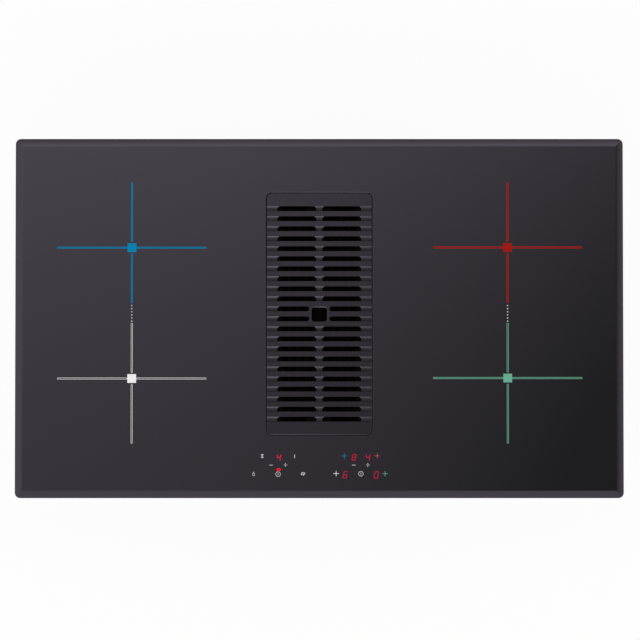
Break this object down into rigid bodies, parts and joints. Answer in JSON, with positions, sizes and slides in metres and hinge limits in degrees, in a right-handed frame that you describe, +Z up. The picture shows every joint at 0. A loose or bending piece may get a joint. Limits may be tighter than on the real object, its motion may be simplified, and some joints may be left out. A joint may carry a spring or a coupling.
{
  "type": "induction hob with downdraft extractor",
  "caption": "Built-in induction hob: dark bevelled glass with four zones, a slotted centre grille, grease filter, blower with flat duct outlet, coils and clamps below.",
  "frame": {"origin": "plan centre of the glass, on the worktop surface that the rim's seal lies on", "axes": "+X to the user's right, +Y to the rear, +Z up out of the worktop"},
  "size_m": [0.88, 0.52, 0.212],
  "materials": {
    "glass": "gloss, dark glass ceramic",
    "foam_seal": "matt",
    "silicone": "satin",
    "grille_metal": "satin, dark",
    "pad_rubber": "matt",
    "filter_metal": "dark coated sheet and mesh",
    "drip_metal": "brushed",
    "tray_steel": "zinc plated sheet",
    "well_plastic": "fine grain",
    "blower_plastic": "moulded",
    "impeller_plastic": "moulded",
    "motor_metal": "cast",
    "copper": "enamelled copper wire",
    "core_steel": "stamped",
    "shaft_steel": "ground",
    "flap_plastic": "moulded",
    "carrier_plastic": "moulded",
    "ferrite": "sintered",
    "sensor_ceramic": "matt",
    "shield_aluminium": "mill finish",
    "board_laminate": "lacquered",
    "heatsink_aluminium": "extruded",
    "fan_plastic": "moulded",
    "display_red": "tinted window",
    "terminal_plastic": "moulded",
    "block_plastic": "moulded",
    "clamp_steel": "zinc plated",
    "screw_steel": "zinc plated"
  },
  "bodies": {
    "root": {"glass_top": "glass", "worktop_seal": "foam_seal", "glass_bond_beads": "silicone", "chassis_floor": "tray_steel", "chassis_walls": "tray_steel", "tray_fittings": "tray_steel", "suction_well": "well_plastic", "plenum_box": "blower_plastic", "blower_upper_shell": "blower_plastic", "blower_lower_shell": "blower_plastic", "inlet_ring": "blower_plastic", "motor_housing": "motor_metal", "motor_stator": "copper", "motor_bearings": "shaft_steel", "motor_grommets": "pad_rubber", "outlet_spigot": "blower_plastic", "blower_control_box": "terminal_plastic", "ferrite_bars": "ferrite", "coil_sensors": "sensor_ceramic", "display_modules": "display_red", "terminal_box": "terminal_plastic", "terminal_block": "block_plastic", "cable_grommet": "pad_rubber", "clamp_screws": "screw_steel", "housing_screws": "screw_steel", "coil_winding_rear_left": "copper", "coil_carrier_rear_left": "carrier_plastic", "coil_winding_rear_right": "copper", "coil_carrier_rear_right": "carrier_plastic", "coil_winding_front_left": "copper", "coil_carrier_front_left": "carrier_plastic", "coil_winding_front_right": "copper", "coil_carrier_front_right": "carrier_plastic", "shield_plate_left": "shield_aluminium", "power_board_left": "board_laminate", "fan_housing_left": "fan_plastic", "shield_plate_right": "shield_aluminium", "power_board_right": "board_laminate", "fan_housing_right": "fan_plastic", "heatsinks": "heatsink_aluminium", "touch_boards": "board_laminate"},
    "drip_tray_unit": {"drip_tray": "drip_metal"},
    "filter_unit": {"filter_frame": "filter_metal", "filter_mesh_left": "filter_metal", "filter_mesh_right": "filter_metal", "filter_finger_tabs": "filter_metal"},
    "grille_unit": {"cover_grille": "grille_metal", "grille_pads": "pad_rubber"},
    "impeller_unit": {"impeller_hub": "impeller_plastic", "impeller_cage": "impeller_plastic", "motor_rotor": "core_steel", "motor_shaft": "shaft_steel"},
    "fan_left_unit": {"fan_wheel_left": "fan_plastic"},
    "fan_right_unit": {"fan_wheel_right": "fan_plastic"},
    "flap_unit": {"backdraft_flap": "flap_plastic"},
    "terminal_cover_unit": {"terminal_cover": "terminal_plastic"},
    "clamp_rear_left_unit": {"clamp_arm_rear_left": "clamp_steel"},
    "clamp_rear_right_unit": {"clamp_arm_rear_right": "clamp_steel"},
    "clamp_front_left_unit": {"clamp_arm_front_left": "clamp_steel"},
    "clamp_front_right_unit": {"clamp_arm_front_right": "clamp_steel"}
  },
  "joints": [
    {"name": "filter_lift", "type": "slide", "parent": "root", "child": "filter_unit", "axis": [0, 0, 1], "range_m": [0, 0.1]},
    {"name": "drip_tray_pull", "type": "slide", "parent": "filter_unit", "child": "drip_tray_unit", "axis": [0, 0, -1], "range_m": [0, 0.025]},
    {"name": "grille_lift", "type": "slide", "parent": "filter_unit", "child": "grille_unit", "axis": [0, 0, 1], "range_m": [0, 0.06]},
    {"name": "impeller_spin", "type": "hinge", "parent": "root", "child": "impeller_unit", "pos_m": [0, -0.02, -0.16], "axis": [0, 0, 1], "continuous": true},
    {"name": "fan_left_spin", "type": "hinge", "parent": "root", "child": "fan_left_unit", "pos_m": [-0.185, -0.15, -0.04], "axis": [0, 0, 1], "continuous": true},
    {"name": "fan_right_spin", "type": "hinge", "parent": "root", "child": "fan_right_unit", "pos_m": [0.185, -0.15, -0.04], "axis": [0, 0, 1], "continuous": true},
    {"name": "flap_swing", "type": "hinge", "parent": "root", "child": "flap_unit", "pos_m": [0.051, 0.156, -0.122], "axis": [1, 0, 0], "range_deg": [0, 75]},
    {"name": "terminal_cover_swing", "type": "hinge", "parent": "root", "child": "terminal_cover_unit", "pos_m": [-0.345, 0.1595, -0.088], "axis": [-1, 0, 0], "range_deg": [0, 100]},
    {"name": "clamp_rear_left_swing", "type": "hinge", "parent": "root", "child": "clamp_rear_left_unit", "pos_m": [-0.3, 0.246, -0.041], "axis": [0, 0, 1], "range_deg": [0, 90]},
    {"name": "clamp_rear_right_swing", "type": "hinge", "parent": "root", "child": "clamp_rear_right_unit", "pos_m": [0.3, 0.246, -0.041], "axis": [0, 0, 1], "range_deg": [0, 90]},
    {"name": "clamp_front_left_swing", "type": "hinge", "parent": "root", "child": "clamp_front_left_unit", "pos_m": [-0.3, -0.246, -0.041], "axis": [0, 0, -1], "range_deg": [0, 90]},
    {"name": "clamp_front_right_swing", "type": "hinge", "parent": "root", "child": "clamp_front_right_unit", "pos_m": [0.3, -0.246, -0.041], "axis": [0, 0, -1], "range_deg": [0, 90]}
  ]
}
